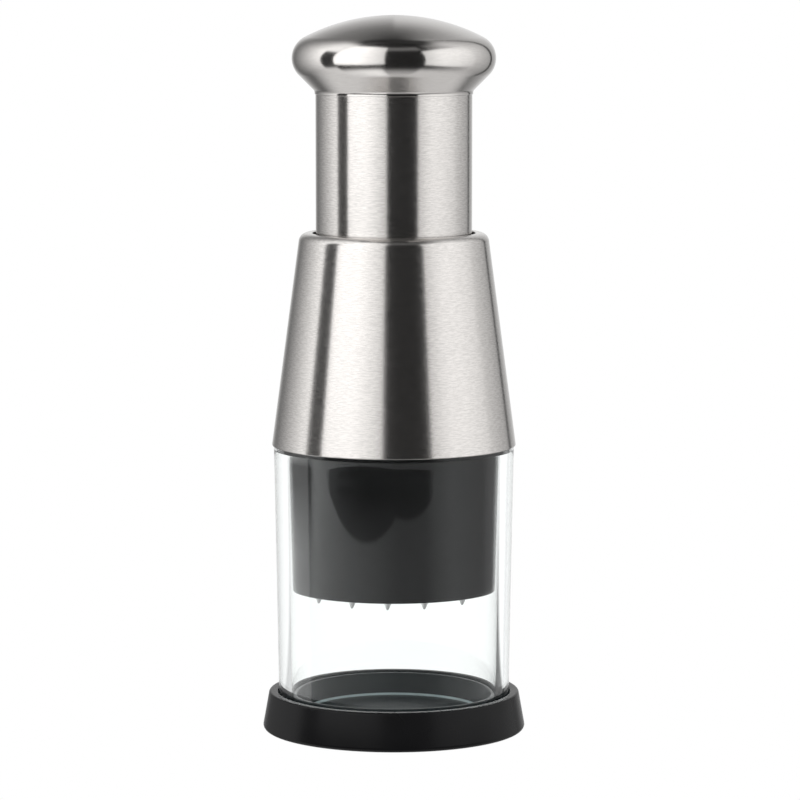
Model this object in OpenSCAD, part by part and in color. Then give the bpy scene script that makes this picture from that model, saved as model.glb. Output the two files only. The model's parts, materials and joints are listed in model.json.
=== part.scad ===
// Plunger food chopper: a glass chopping cylinder that stands in a base cap, under a steel-clad head.
// Pressing the knob drives a zigzag blade down through a slotted wiper; a spring lifts it again, and
// a toothed nut on the twisted stem turns the blade by one step each stroke.
// Millimetres, +Z up, origin on the surface that the chopper stands on, at its centre.

/* [Base cap] */
// Widest diameter of the base cap, near its foot
base_d = 88.9; // [88:0.1:92]
// Diameter of the base cap across the top of its rim
base_rim_d = 83.4; // [82.6:0.1:84.4]
// Height of the rim above the surface
base_h = 14.6; // [13:0.1:18]
// Height of the floor that the food lies on
floor_z = 6.2; // [6:0.1:6.4]

/* [Glass] */
// Outer diameter of the glass at its top end
glass_d = 80; // [79.8:0.1:80.4]
// Wall of the glass at its top end
glass_wall = 4.5; // [4.2:0.1:4.6]
// Length of the glass
glass_h = 87.9; // [87.5:0.1:90]

/* [Collar] */
// Diameter of the steel collar at its lower edge
collar_d = 81.2; // [81:0.1:82]
// Diameter of the collar where its cone meets the top corner
collar_top_d = 62.4; // [62:0.1:64]
// Height of the collar from the glass to its lip
collar_h = 71.8; // [71:0.1:74]
// Diameter of the hole in the lip
collar_hole_d = 54; // [53.6:0.1:54.6]
// Thickness of the sheet steel
sheet = 0.7; // [0.5:0.1:0.8]

/* [Plunger] */
// Outer diameter of the plunger tube
tube_d = 51.7; // [51.2:0.1:51.9]
// Length of tube that shows between the lip and the knob
tube_show = 46; // [44:0.5:60]
// Widest diameter of the knob
knob_d = 67.3; // [64:0.1:72]
// Height of the knob from its neck to its crown
knob_h = 25.64; // [25:0.1:28]
// Radius of the knob's crown
crown_r = 64.1; // [58:0.1:75]
// Radius of the knob's shoulder
shoulder_r = 7.86; // [7:0.01:8.4]

/* [Stroke and index] */
// How far the plunger goes down
stroke = 37; // [30:0.5:37]
// Teeth of the index ratchet, one for each step of the blade
index_teeth = 12; // [10:1:14]

/* [Blade] */
// Number of folds on each long side of the zigzag
blade_folds = 5; // [3:2:5]
// Distance between neighbouring folds
fold_pitch = 11.5; // [11:0.1:11.8]
// Radius of the circle that the folds lie on
fold_circle_r = 28; // [27:0.1:28.2]
// Thickness of the blade strip
blade_t = 0.6; // [0.4:0.1:0.7]
// How far the folds' points reach below the guard cup
tip_show = 3.5; // [3:0.1:4.5]
// Angle that the zigzag is turned to at rest
blade_turn = -4; // [-8:0.5:8]

/* [Return spring] */
// Mean radius of the spring
spring_r = 16; // [15.8:0.1:16.4]
// Thickness of the spring wire
spring_wire = 1.8; // [1.4:0.1:2]
// Turns of the spring
spring_turns = 11; // [8:1:12]

/* [Hidden] */
$fn = 96;

BLACK = [0.10, 0.10, 0.11];
GLOSS_BLACK = [0.06, 0.06, 0.07];
STEEL = [0.74, 0.73, 0.71];
BRIGHT = [0.84, 0.84, 0.84];
RUBBER = [0.16, 0.16, 0.17];
SILICONE = [0.80, 0.82, 0.83];
GLASS = [0.80, 0.92, 0.90, 0.35];

gap = 0.1;               // play between pieces that move on each other
eps = 0.01;              // how far a cutter runs past the face that it opens
arc_steps = 6;           // straight steps in a small rounded corner

// Base cap
foot_h = 0.5;            // the grip ring stands this far below the cap
base_recess_z = 3.8;     // top of the recess under the floor
base_recess_r = 33.4;
rim_inner_r = 39;
grip_r = [35.2, 41.3];   // inner and outer radius of the grip ring
grip_top = 2.9;
seat_r = [34.6, 38.2];   // inner and outer radius of the gasket that the glass stands on
seat_groove_z = 5.2;
seat_z = floor_z + 0.3;
base_ribs = 8;

// Glass
glass_top = seat_z + glass_h;
glass_r = glass_d/2;
glass_flare = 1.6;       // how much narrower the glass is at its foot, in radius
glass_taper = 0.3;       // how much thinner its wall is there

// Head, from the glass up
gasket_t = 1;
flange_z = glass_top + gasket_t;
flange_r = 38.4;
web_z = flange_z + 2;
web_t = 2.5;
collar_z = glass_top + 0.2;
collar_top = glass_top + collar_h;
collar_r = collar_d/2;
collar_top_r = collar_top_d/2;
collar_corner = 3;
hem_in_r = 38.7;
lip_drop = 1.2;
collar_slope = (collar_r - collar_top_r)/(collar_top - collar_z);
liner_t = 2;
bush_top = collar_top - lip_drop;
bush_h = 13;
bush_body_r = 28.9;
bush_flange = 2;
liner_top = bush_top - bush_flange;

// Guard cup
cup_z = 47.6;
cup_r = [33.75, 34.7, 35.1];   // outer radius at its mouth, at its shoulder and at the flange
cup_shoulder_z = 86;
cup_wall = 1.6;
cup_lip_r = 29.9;
cup_lip_t = 1;
roof_z = glass_top + 0.2;
roof_t = 2;
roof_top = roof_z + roof_t;
hub_r = 14.5;                  // pocket that holds the ratchet
hub_wall = 2;
hub_top = roof_top + 10.4;
post_r = 19.4;                 // circle of the ratchet screws
post_d = 5.6;
liner_post_r = 29;             // circle of the liner screws
liner_post_d = 6.6;
screws = 3;
nubs = 6;

// Ratchet
ring_t = 3.2;
tooth_h = 1.2;
tooth_w = 3.3;
tooth_r = [8, 13.2];
nut_r = 13.6;
nut_z = roof_top + ring_t + gap;
nut_h = 3.8;
key_w = 4;
key_r = 15.6;
cap_t = 2;
cap_r = 22.4;
cap_top = hub_top + cap_t;
index_angle = 360/index_teeth;

// Plunger
tube_r = tube_d/2;
tube_wall = 0.8;
neck_z = collar_top + tube_show;
apex_z = neck_z + knob_h;
neck_r = tube_r + 0.3;
neck_fillet = 1.5;
knob_r = knob_d/2;
knob_sheet = 0.8;
tube_top = neck_z + 1.4;
stop_r = 28.5;
stop_top = bush_top - bush_h - gap;
tube_bottom = stop_top - 5.9;
stop_lip_t = 2;

// Knob insert and the stem's bearing in it
insert_floor = neck_z - 16.2;
insert_floor_t = 2.6;
insert_wall = 1.8;
boss_z = insert_floor - 6;
boss_top = insert_floor + 10;
boss_r = 9;
journal_r = 4;
journal_play = 0.05;

// Blade, carrier and stem
carrier_r = 31.2;
carrier_t = 5.2;
carrier_top = roof_z - 0.9;
carrier_z = carrier_top - carrier_t;
strip_depth = 1.8;               // how deep the strip is set in the carrier
strip_top = carrier_z + strip_depth;
tip_z = cup_z - tip_show;
edge_r = 80;                   // radius of the hollow that is ground into the lower edge
fold_out = 1.1;                // outer radius of a fold
stem_w = 9;
stem_play = 0.25;
stem_foot_r = 6.6;
stem_foot_t = 0.6;
tenon_w = 7;
tenon_h = 2;
twist_z = carrier_top + stem_foot_t;
twist_top = nut_z + nut_h + stroke + 3;
twist_rate = index_angle/stroke;
shoulder_z = boss_z - 1 - gap;
washer_t = 1;
screw_r = 2.5;
carrier_screw_r = 1.5;
carrier_head_r = 2.2;
carrier_head_h = 1.6;
carrier_web_z = strip_top + 1;

// Wiper
wiper_t = 2.3;
wiper_z = cup_z + cup_lip_t + gap;
wiper_r = 31.3;
slot_play = 0.5;

// ---- Helper functions and modules ----

function arc(c, r, a0, a1, n) =
    [for (i = [0:n]) let (a = a0 + (a1 - a0)*i/n) c + r*[cos(a), sin(a)]];

function unit(v) = v/norm(v);
function turn(a) = a - 360*round(a/360);

// Points that round corner b between neighbours a and c with radius r
function corner(a, b, c, r) = r <= 0 ? [b] :
    let (u = unit(a - b), w = unit(c - b), half = acos(u*w)/2,
         m = b + unit(u + w)*r/sin(half), s = b + u*r/tan(half) - m, e = b + w*r/tan(half) - m,
         a0 = atan2(s[1], s[0]), sweep = turn(atan2(e[1], e[0]) - a0))
    arc(m, r, a0, a0 + sweep, arc_steps);

// Outline from vertices [x, y, radius]; a radius of 0 leaves the corner sharp
function outline(v) = let (n = len(v), p = [for (q = v) [q[0], q[1]]])
    [for (i = [0:n - 1]) each corner(p[(i + n - 1)%n], p[i], p[(i + 1)%n], v[i][2])];

module turned(v) rotate_extrude() polygon(outline(v));

module ring(r, z, h) translate([0, 0, z]) difference() {
    cylinder(r = r[1], h = h);
    translate([0, 0, -eps]) cylinder(r = r[0], h = h + 2*eps);
}

module round_of(n, offset_angle = 0) for (i = [0:n - 1]) rotate(offset_angle + 360*i/n) children();

// Pan-head screw that points down: its head stands on height z
module pan_screw(z, head_r, head_h, r, length) {
    translate([0, 0, z]) cylinder(r1 = head_r, r2 = 0.8*head_r, h = head_h);
    translate([0, 0, z - length]) cylinder(r = r, h = length);
}

// Bar of square section, twisted so that it screws down through the index nut
module twisted_bar(w, z0, z1) translate([0, 0, z0]) rotate(-twist_rate*(z0 - twist_z))
    linear_extrude(height = z1 - z0, twist = twist_rate*(z1 - z0), slices = ceil((z1 - z0)/2.5), segments = 4,
                   convexity = 4) square(w, center = true);

// Round wire along a coil about the Z axis, with its end turns lying close
module coil(r, wire, turns, z0, z1, steps, sides = 6) {
    close_pitch = 1.3*wire;
    lead = (z1 - z0 - wire - 2*close_pitch)/(turns - 2);
    n = turns*steps;
    function rise(t) = t < 1 ? close_pitch*t
        : t < turns - 1 ? close_pitch + lead*(t - 1)
        : close_pitch*(t - turns + 2) + lead*(turns - 2);
    points = [for (i = [0:n]) let (a = 360*i/steps, z = z0 + wire/2 + rise(i/steps))
        for (k = [0:sides - 1]) let (b = 360*k/sides, q = r + wire/2*cos(b))
            [q*cos(a), q*sin(a), z + wire/2*sin(b)]];
    walls = [for (i = [0:n - 1]) for (k = [0:sides - 1])
        let (p = i*sides + k, q = i*sides + (k + 1)%sides)
            each [[p, q, p + sides], [q, q + sides, p + sides]]];
    ends = [for (k = [1:sides - 2]) each [[0, k + 1, k], [n*sides, n*sides + k, n*sides + k + 1]]];
    polyhedron(points, concat(walls, ends), convexity = 12);
}

// ---- Base body ----

module base_cap() color(BLACK) difference() {
    union() {
        turned([
            [0, base_recess_z, 0], [base_recess_r, base_recess_z, 0.4], [base_recess_r, foot_h, 0],
            [grip_r[0], foot_h, 0], [grip_r[0], grip_top, 0], [grip_r[1], grip_top, 0],
            [grip_r[1], foot_h, 0], [base_d/2 + 0.1, foot_h, 1.2], [base_rim_d/2, base_h, 1.3],
            [rim_inner_r, base_h, 0.6], [rim_inner_r, floor_z, 0.3], [seat_r[1], floor_z, 0],
            [seat_r[1], seat_groove_z, 0], [seat_r[0], seat_groove_z, 0], [seat_r[0], floor_z, 0],
            [0, floor_z, 0]]);
        ring([8, 10], foot_h + 0.6, base_recess_z - foot_h);
        round_of(base_ribs) translate([9, -0.7, foot_h + 0.6])
            cube([base_recess_r - 8.5, 1.4, base_recess_z - foot_h]);
    }
}

module base_grip_ring() color(RUBBER) difference() {
    turned([[grip_r[0], 0, 0.5], [grip_r[1], 0, 0.5], [grip_r[1], grip_top, 0], [grip_r[0], grip_top, 0]]);
    // three fine grooves round the face that stands on the table
    for (r = [37, 38.3, 39.6]) ring([r - 0.3, r + 0.3], -eps, 0.4);
}

module glass_seat_gasket() color(SILICONE)
    turned([[seat_r[0], seat_groove_z, 0], [seat_r[1], seat_groove_z, 0],
            [seat_r[1], seat_z, 0.3], [seat_r[0], seat_z, 0.3]]);

// ---- Glass body ----

// Radius of the glass's outside at a fraction t of its height
function glass_out(t) = glass_r - glass_flare + glass_flare*(0.875*t + 0.125*t*t);
function glass_in(t) = glass_out(t) - glass_wall + glass_taper*(1 - t);

module glass_cylinder() color(GLASS) {
    steps = 8;
    outside = [for (i = [1:steps - 1]) let (t = i/steps) [glass_out(t), seat_z + glass_h*t, 0]];
    inside = [for (i = [steps - 1:-1:1]) let (t = i/steps) [glass_in(t), seat_z + glass_h*t, 0]];
    turned(concat([[glass_in(0), seat_z, 1], [glass_out(0), seat_z, 1]], outside,
                  [[glass_out(1), glass_top, 1], [glass_in(1), glass_top, 1]], inside));
}

// ---- Head body ----

// Outer radius of the collar's cone at height z
function cone_r(z) = collar_r - collar_slope*(z - collar_z);

module collar_shell() color(STEEL)
    turned([
        [hem_in_r, collar_z, 0], [cone_r(collar_z), collar_z, 1.2],
        [cone_r(collar_top), collar_top, collar_corner], [collar_hole_d/2, collar_top, lip_drop - 0.2],
        [collar_hole_d/2, bush_top, 0], [collar_hole_d/2 + sheet, bush_top, 0],
        [collar_hole_d/2 + sheet, collar_top - sheet, 0.3],
        [cone_r(collar_top - sheet) - sheet, collar_top - sheet, collar_corner - sheet],
        [cone_r(collar_z + sheet) - sheet, collar_z + sheet, 0.5], [hem_in_r, collar_z + sheet, 0]]);

module collar_liner() color(BLACK) {
    skin = sheet + gap;              // from the collar's outside to the liner's
    foot_z = collar_z + sheet;
    difference() {
        union() {
            turned([
                [flange_r + 0.2, foot_z, 0], [cone_r(foot_z) - skin - 0.5, foot_z, 0.3],
                [cone_r(liner_top) - skin, liner_top, 0], [bush_body_r, liner_top, 0],
                [bush_body_r, liner_top - 2, 0],
                [cone_r(liner_top - 4) - skin - liner_t, liner_top - 4, 1],
                [cone_r(web_z + web_t) - skin - liner_t, web_z + web_t, 0.8],
                [post_r + post_d/2 + 0.6, web_z + web_t, 0], [post_r + post_d/2 + 0.6, web_z, 0],
                [flange_r + 0.2, web_z, 0]]);
            // ribs that stiffen the cone above the web
            round_of(6, 30) translate([0, 0, web_z + web_t - eps]) intersection() {
                translate([31, -0.8, 0]) cube([8, 1.6, 40]);
                rotate_extrude() polygon([
                    [31.4, 0], [cone_r(web_z) - skin - 1.2, 0], [cone_r(web_z + 40) - skin - 1.2, 40],
                    [cone_r(web_z + 40) - skin - 1.6, 40]]);
            }
        }
        round_of(screws) translate([liner_post_r, 0, web_z - eps]) cylinder(r = 1.7, h = web_t + 2*eps);
    }
}

module guide_bush() color(GLOSS_BLACK)
    turned([
        [tube_r + 0.08, bush_top - bush_h, 0.6], [bush_body_r, bush_top - bush_h, 0.6],
        [bush_body_r, liner_top, 0], [bush_body_r + 1, liner_top, 0],
        [bush_body_r + 1, bush_top - 0.8, 0], [bush_body_r + 0.2, bush_top, 0],
        [tube_r + 0.08, bush_top, 0.4]]);

module rim_gasket() color(SILICONE)
    turned([[glass_in(1) + 0.7, glass_top, 0.3], [flange_r, glass_top, 0.3],
            [flange_r, flange_z, 0], [glass_in(1) + 0.7, flange_z, 0]]);

// Inner radius of the cup's wall at height z, below its shoulder
function cup_in(z) = cup_r[0] + (cup_r[1] - cup_r[0])*(z - cup_z)/(cup_shoulder_z - cup_z) - cup_wall;

module guard_cup() color(GLOSS_BLACK) difference() {
    union() {
        turned([
            [cup_lip_r, cup_z, 0.3], [cup_r[0], cup_z, 0.8], [cup_r[1], cup_shoulder_z, 20],
            [cup_r[2], roof_top, 0], [cup_r[2], flange_z, 0], [flange_r, flange_z, 0],
            [flange_r, web_z, 0.3], [cup_r[2] - cup_wall, web_z, 0.3],
            [cup_r[2] - cup_wall, roof_top, 0.4], [hub_r + hub_wall, roof_top, 0.6],
            [hub_r + hub_wall, hub_top, 0], [hub_r, hub_top, 0], [hub_r, roof_top, 0],
            [stem_foot_r + 0.3, roof_top, 0], [stem_foot_r + 0.3, roof_z, 0],
            [cup_in(roof_z), roof_z, 2.5], [cup_in(cup_z + cup_lip_t), cup_z + cup_lip_t, 0],
            [cup_lip_r, cup_z + cup_lip_t, 0]]);
        round_of(screws, 60) translate([post_r, 0, roof_top - eps]) cylinder(d = post_d, h = hub_top - roof_top + eps);
        round_of(screws, 60) translate([hub_r + 1, -1, roof_top - eps])
            cube([post_r - hub_r - 1, 2, hub_top - roof_top + eps]);
        round_of(screws) translate([liner_post_r, 0, roof_top - eps])
            cylinder(d = liner_post_d, h = web_z - roof_top + eps);
        // stiffening ribs on the roof, under the liner's web
        round_of(2*screws, 30) translate([post_r + 1, -0.8, roof_top - eps])
            cube([cup_r[2] - cup_wall - post_r - 0.5, 1.6, web_z - roof_top + eps]);
        // snap nubs that hold the wiper down
        round_of(nubs, 30) translate([cup_in(wiper_z), 0, wiper_z + wiper_t + 1.1]) rotate([0, -90, 0])
            cylinder(r1 = 0.9, r2 = 0.5, h = cup_in(wiper_z) - wiper_r - 0.35 + 0.3);
    }
    round_of(screws, 60) translate([post_r, 0, hub_top - 7]) cylinder(r = 1.25, h = 7 + eps);
    round_of(screws) translate([liner_post_r, 0, roof_top + 0.2]) cylinder(r = 1.25, h = web_z - roof_top);
    // keyways for the index ring
    round_of(screws) translate([hub_r - 1, -key_w/2, roof_top])
        cube([key_r - hub_r + 1.1, key_w, ring_t]);
}

module liner_screws() color(BRIGHT) round_of(screws) translate([liner_post_r, 0, 0])
    pan_screw(web_z + web_t, 2.8, 1.9, 1.25, web_t + web_z - roof_top - 0.2);

module ratchet_teeth(grow) round_of(index_teeth) translate([tooth_r[0] - grow, 0, 0])
    rotate([90, 0, 90]) linear_extrude(height = tooth_r[1] - tooth_r[0] + 2*grow)
        polygon([[-tooth_w/2 - grow, -eps], [tooth_w/2 + grow, -eps], [tooth_w/2 + grow, tooth_h + grow]]);

module index_ring() color(BRIGHT) difference() {
    union() {
        translate([0, 0, roof_top]) cylinder(r = hub_r - gap, h = ring_t);
        translate([0, 0, roof_top + ring_t]) ratchet_teeth(0);
        round_of(screws) translate([hub_r - 1, -key_w/2 + gap, roof_top])
            cube([key_r - hub_r + 1, key_w - 2*gap, ring_t]);
    }
    translate([0, 0, roof_top - eps]) cylinder(r = tooth_r[0] - 0.6, h = ring_t + tooth_h + 1);
}

module index_nut() color(STEEL) difference() {
    union() {
        translate([0, 0, nut_z]) cylinder(r = nut_r, h = nut_h);
        translate([0, 0, nut_z + nut_h - eps]) cylinder(r = 9, h = 1.2);
    }
    translate([0, 0, nut_z - gap]) ratchet_teeth(gap);
    twisted_bar(stem_w + 2*stem_play, nut_z - 1, nut_z + nut_h + 2.5);
}

module nut_spring() color(BRIGHT) coil(10.9, 0.8, 3, nut_z + nut_h, hub_top - 0.4, 20);

module ratchet_cap() color(BLACK) difference() {
    union() {
        translate([0, 0, hub_top]) cylinder(r = cap_r, h = cap_t);
        ring([hub_r - 4.5, hub_r - gap], hub_top - 0.4, 0.6);
        ring([spring_r - spring_wire/2 - 2.2, spring_r - spring_wire/2 - 0.3], cap_top - eps, 2);
    }
    translate([0, 0, hub_top - 1]) cylinder(r = stem_foot_r + 0.9, h = cap_t + 4);
    round_of(screws, 60) translate([post_r, 0, hub_top - eps]) cylinder(r = 1.45, h = cap_t + 2*eps);
}

module ratchet_screws() color(BRIGHT) round_of(screws, 60) translate([post_r, 0, 0])
    pan_screw(cap_top, 2.3, 1.6, 1.25, cap_t + 6.5);

module return_spring() color(STEEL)
    coil(spring_r, spring_wire, spring_turns, cap_top, insert_floor, 16);

// ---- Plunger body ----

// The knob's crown and shoulder, inset by d, from the apex down to where its 45 degree underside starts
function knob_side(d) = let (
        lean = asin((knob_r - shoulder_r)/(crown_r - shoulder_r)), c = [0, apex_z - crown_r],
        s = c + (crown_r - shoulder_r)*[sin(lean), cos(lean)])
    concat(arc(c, crown_r - d, 90, 90 - lean, 10), [for (p = arc(s, shoulder_r - d, 90 - lean, -45, 14)) p]);

// Where the underside, inset by d, meets radius r
function underside_z(d, r) = let (p = knob_side(d), e = p[len(p) - 1]) e[1] - (e[0] - r);

module knob_cap() color(STEEL) rotate_extrude() {
    outer = knob_side(0);
    inner = knob_side(knob_sheet);
    seam_r = tube_r + 0.02;
    neck = corner(outer[len(outer) - 1], [neck_r, underside_z(0, neck_r)], [neck_r, neck_z - 0.3], neck_fillet);
    polygon(concat(outer, neck, [[neck_r, neck_z - 0.3], [seam_r, neck_z - 0.3],
                                 [seam_r, underside_z(knob_sheet, seam_r)]],
                   [for (i = [len(inner) - 1:-1:0]) inner[i]]));
}

module knob_insert() color(BLACK) {
    plug_r = tube_r - tube_wall - 0.05;
    collar_in = underside_z(knob_sheet, 0);      // the underside's cone is r = z - collar_in
    flange_t = 1.8;
    difference() {
        union() {
            turned([
                [journal_r + journal_play, boss_z, 0.3], [boss_r, boss_z, 0.5],
                [boss_r, insert_floor, 0.5], [plug_r, insert_floor, 0.5], [plug_r, tube_top, 0],
                [tube_top - collar_in - 0.2, tube_top, 0],
                [tube_top + flange_t - collar_in - 0.2, tube_top + flange_t, 0],
                [plug_r - insert_wall, tube_top + flange_t, 0.3],
                [plug_r - insert_wall, insert_floor + insert_floor_t, 0.8],
                [boss_r, insert_floor + insert_floor_t, 0.8], [boss_r, boss_top, 0.4],
                [journal_r + journal_play, boss_top, 0.3]]);
            // ribs from the bearing boss out to the plug's wall, rising under the crown
            round_of(6) translate([0, -0.8, insert_floor + insert_floor_t - eps])
                rotate([90, 0, 0]) translate([0, 0, -1.6]) linear_extrude(height = 1.6)
                    polygon([[boss_r - 0.5, 0], [plug_r - 1, 0], [plug_r - 1, 18], [boss_r - 0.5, 7]]);
            ring([spring_r - spring_wire/2 - 2.2, spring_r - spring_wire/2 - 0.3], insert_floor - 3, 3 + eps);
        }
    }
}

module plunger_tube() color(STEEL) ring([tube_r - tube_wall, tube_r], tube_bottom, tube_top - tube_bottom);

module plunger_stop_ring() color(BLACK)
    turned([
        [tube_r - tube_wall - 1.5, tube_bottom - stop_lip_t, 0.4], [stop_r, tube_bottom - stop_lip_t, 0.6],
        [stop_r, stop_top, 0.6], [tube_r, stop_top, 0], [tube_r, tube_bottom, 0],
        [tube_r - tube_wall - 1.5, tube_bottom, 0.4]]);

// ---- Blade body ----

module blade_stem() color(BRIGHT) difference() {
    union() {
        translate([0, 0, carrier_top - tenon_h]) cylinder(d = tenon_w*sqrt(2), h = tenon_h + eps, $fn = 4);
        translate([0, 0, carrier_top]) cylinder(r = stem_foot_r, h = stem_foot_t);
        twisted_bar(stem_w, twist_z - eps, twist_top);
        translate([0, 0, twist_top - eps]) rotate(-twist_rate*(twist_top - twist_z))
            translate([-stem_w/2, -stem_w/2, 0]) cube([stem_w, stem_w, shoulder_z - twist_top + eps]);
        translate([0, 0, shoulder_z - eps]) cylinder(r = journal_r, h = boss_top + gap - shoulder_z + eps);
    }
    translate([0, 0, boss_top - 9]) cylinder(r = screw_r, h = 10);
    translate([0, 0, carrier_top - tenon_h - eps]) cylinder(r = carrier_screw_r, h = tenon_h + 5.5);
}

module thrust_washer() color(STEEL) ring([journal_r + 0.05, 8], shoulder_z, washer_t);

module stem_washer() color(STEEL) ring([screw_r, 8], boss_top + gap, washer_t);

module stem_screw() color(BRIGHT) difference() {
    pan_screw(boss_top + gap + washer_t, 4.7, 3.4, screw_r, 9);
    // cross recess for the driver
    for (a = [0, 90]) rotate(a) translate([-2.4, -0.5, boss_top + gap + washer_t + 1.8]) cube([4.8, 1, 3]);
}

// Middle line of the zigzag: folds on the near side and the far side in turn, then two free ends
half = (blade_folds - 1)/2;
function on_circle(x, side) = [x, side*sqrt(fold_circle_r*fold_circle_r - x*x)];
near_folds = [for (i = [-half:half]) on_circle(i*fold_pitch, -1)];
far_folds = [for (i = [-half:half - 1]) on_circle((i + 0.5)*fold_pitch, 1)];
end_x = (half + 0.22)*fold_pitch;
free_ends = [for (s = [-1, 1]) [s*end_x, 0.9*sqrt(fold_circle_r*fold_circle_r - end_x*end_x)]];

// One straight leg of the strip from a to b, offset sideways so that it runs into the side of each fold
module leg(a, b, shift_a, shift_b, t) {
    p = a + [shift_a, 0];
    q = b + [shift_b, 0];
    translate(p) rotate(atan2(q[1] - p[1], q[0] - p[0])) translate([0, -t/2]) square([norm(q - p), t]);
}

// The strip seen from above; grow widens it for the slot that it runs through
module zigzag(grow) {
    t = blade_t + 2*grow;
    bend = fold_out - blade_t/2;
    for (i = [0:len(near_folds) - 1]) {
        if (i < len(far_folds)) leg(near_folds[i], far_folds[i], bend, -bend, t);
        if (i > 0) leg(far_folds[i - 1], near_folds[i], bend, -bend, t);
    }
    leg(near_folds[0], free_ends[0], -bend, 0, t);
    leg(near_folds[len(near_folds) - 1], free_ends[1], bend, 0, t);
    for (s = [-1, 1]) for (p = s < 0 ? near_folds : far_folds) translate(p) difference() {
        circle(r = fold_out + grow, $fn = 32);
        if (grow < bend - blade_t/2) circle(r = fold_out - blade_t - grow, $fn = 32);
        translate([-2*fold_out, s < 0 ? 0 : -4*fold_out]) square(4*fold_out);
    }
}

module zigzag_blade() color(BRIGHT) rotate(blade_turn) difference() {
    translate([0, 0, tip_z]) linear_extrude(height = strip_top - tip_z) zigzag(0);
    // hollow-ground lower edge: the folds stay as points
    translate([0, 0, tip_z - sqrt(edge_r*edge_r - pow(fold_circle_r + fold_out, 2))]) sphere(r = edge_r);
}

module blade_carrier() color(GLOSS_BLACK) difference() {
    union() {
        turned([
            [0, carrier_z, 0], [carrier_r, carrier_z, 0.5], [carrier_r, carrier_top, 0.5],
            [carrier_r - 2, carrier_top, 0.3], [carrier_r - 2, carrier_web_z, 0.5],
            [stem_foot_r + 3, carrier_web_z, 0.5], [stem_foot_r + 3, carrier_top, 0.3], [0, carrier_top, 0]]);
        round_of(8, 22.5) translate([stem_foot_r + 2, -0.7, carrier_web_z - eps])
            cube([carrier_r - stem_foot_r - 3, 1.4, carrier_top - carrier_web_z - 0.6]);
    }
    rotate(blade_turn) translate([0, 0, carrier_z - eps]) linear_extrude(height = strip_depth + eps) zigzag(0);
    translate([0, 0, carrier_top - tenon_h]) cylinder(d = tenon_w*sqrt(2), h = tenon_h + 1, $fn = 4);
    translate([0, 0, carrier_z - eps]) cylinder(r = carrier_head_r, h = carrier_head_h + eps);
    translate([0, 0, carrier_z - eps]) cylinder(r = carrier_screw_r, h = carrier_t);
}

module carrier_screw() color(BRIGHT) difference() {
    union() {
        translate([0, 0, carrier_z]) cylinder(r = carrier_head_r, h = carrier_head_h);
        translate([0, 0, carrier_z + 1]) cylinder(r = carrier_screw_r, h = carrier_t + 4);
    }
    translate([0, 0, carrier_z - eps]) cylinder(r = 1.2, h = 0.9, $fn = 6);
}

// ---- Wiper body ----

module wiper_disc() color(GLOSS_BLACK) difference() {
    turned([[0, wiper_z, 0], [wiper_r, wiper_z, 0.4], [wiper_r, wiper_z + wiper_t, 0.4], [0, wiper_z + wiper_t, 0]]);
    rotate(blade_turn) translate([0, 0, wiper_z - 1]) linear_extrude(height = wiper_t + 2) zigzag(slot_play);
}

base_cap();
base_grip_ring();
glass_seat_gasket();
glass_cylinder();
collar_shell();
collar_liner();
guide_bush();
rim_gasket();
guard_cup();
liner_screws();
index_ring();
index_nut();
nut_spring();
ratchet_cap();
ratchet_screws();
return_spring();
knob_cap();
knob_insert();
plunger_tube();
plunger_stop_ring();
blade_stem();
thrust_washer();
stem_washer();
stem_screw();
blade_carrier();
carrier_screw();
zigzag_blade();
wiper_disc();
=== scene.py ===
"""Looks of the plunger food chopper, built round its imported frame. All lengths are in metres."""
import json
import math

import bpy
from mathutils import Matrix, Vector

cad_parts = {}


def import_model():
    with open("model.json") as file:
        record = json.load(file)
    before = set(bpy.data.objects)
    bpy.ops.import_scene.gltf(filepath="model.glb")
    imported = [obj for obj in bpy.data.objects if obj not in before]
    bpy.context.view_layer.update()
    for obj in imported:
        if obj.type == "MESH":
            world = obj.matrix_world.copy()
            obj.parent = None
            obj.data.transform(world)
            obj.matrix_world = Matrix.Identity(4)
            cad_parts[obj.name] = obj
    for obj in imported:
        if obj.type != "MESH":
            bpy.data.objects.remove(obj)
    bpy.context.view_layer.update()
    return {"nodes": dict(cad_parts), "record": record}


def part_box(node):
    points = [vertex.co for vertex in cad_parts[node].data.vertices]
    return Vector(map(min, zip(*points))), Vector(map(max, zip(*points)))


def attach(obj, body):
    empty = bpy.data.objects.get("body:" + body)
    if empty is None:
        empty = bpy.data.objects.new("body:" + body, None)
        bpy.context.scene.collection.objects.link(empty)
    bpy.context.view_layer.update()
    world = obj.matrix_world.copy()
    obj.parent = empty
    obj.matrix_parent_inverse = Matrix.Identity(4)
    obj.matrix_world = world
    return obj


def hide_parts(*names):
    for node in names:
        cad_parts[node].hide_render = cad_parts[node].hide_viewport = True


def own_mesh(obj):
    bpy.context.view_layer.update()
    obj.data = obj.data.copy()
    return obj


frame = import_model()
NODES = frame["nodes"]
MM = 0.001


# ---- Measures of the CAD nodes ----

def low(node_name):
    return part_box(node_name)[0].z


def high(node_name):
    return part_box(node_name)[1].z


def reach(node_name):
    """Largest radius of a node that is round about the Z axis."""
    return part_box(node_name)[1].x


# ---- Outlines and meshes ----

ON_AXIS = 0.0001 * MM     # a point of an outline closer to the axis than this lies on it
LATHE_SHARP = 40          # degrees that an edge of a turned piece bends by before it stays sharp


def arc(centre, radius, start, end, steps):
    """Points along an arc, from angle start to angle end in degrees."""
    points = []
    for i in range(steps + 1):
        a = math.radians(start + (end - start) * i / steps)
        points.append((centre[0] + radius * math.cos(a), centre[1] + radius * math.sin(a)))
    return points


def turned(x, y, angle):
    """A point seen from above, turned round the Z axis by an angle in radians."""
    return x * math.cos(angle) - y * math.sin(angle), x * math.sin(angle) + y * math.cos(angle)


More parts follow.
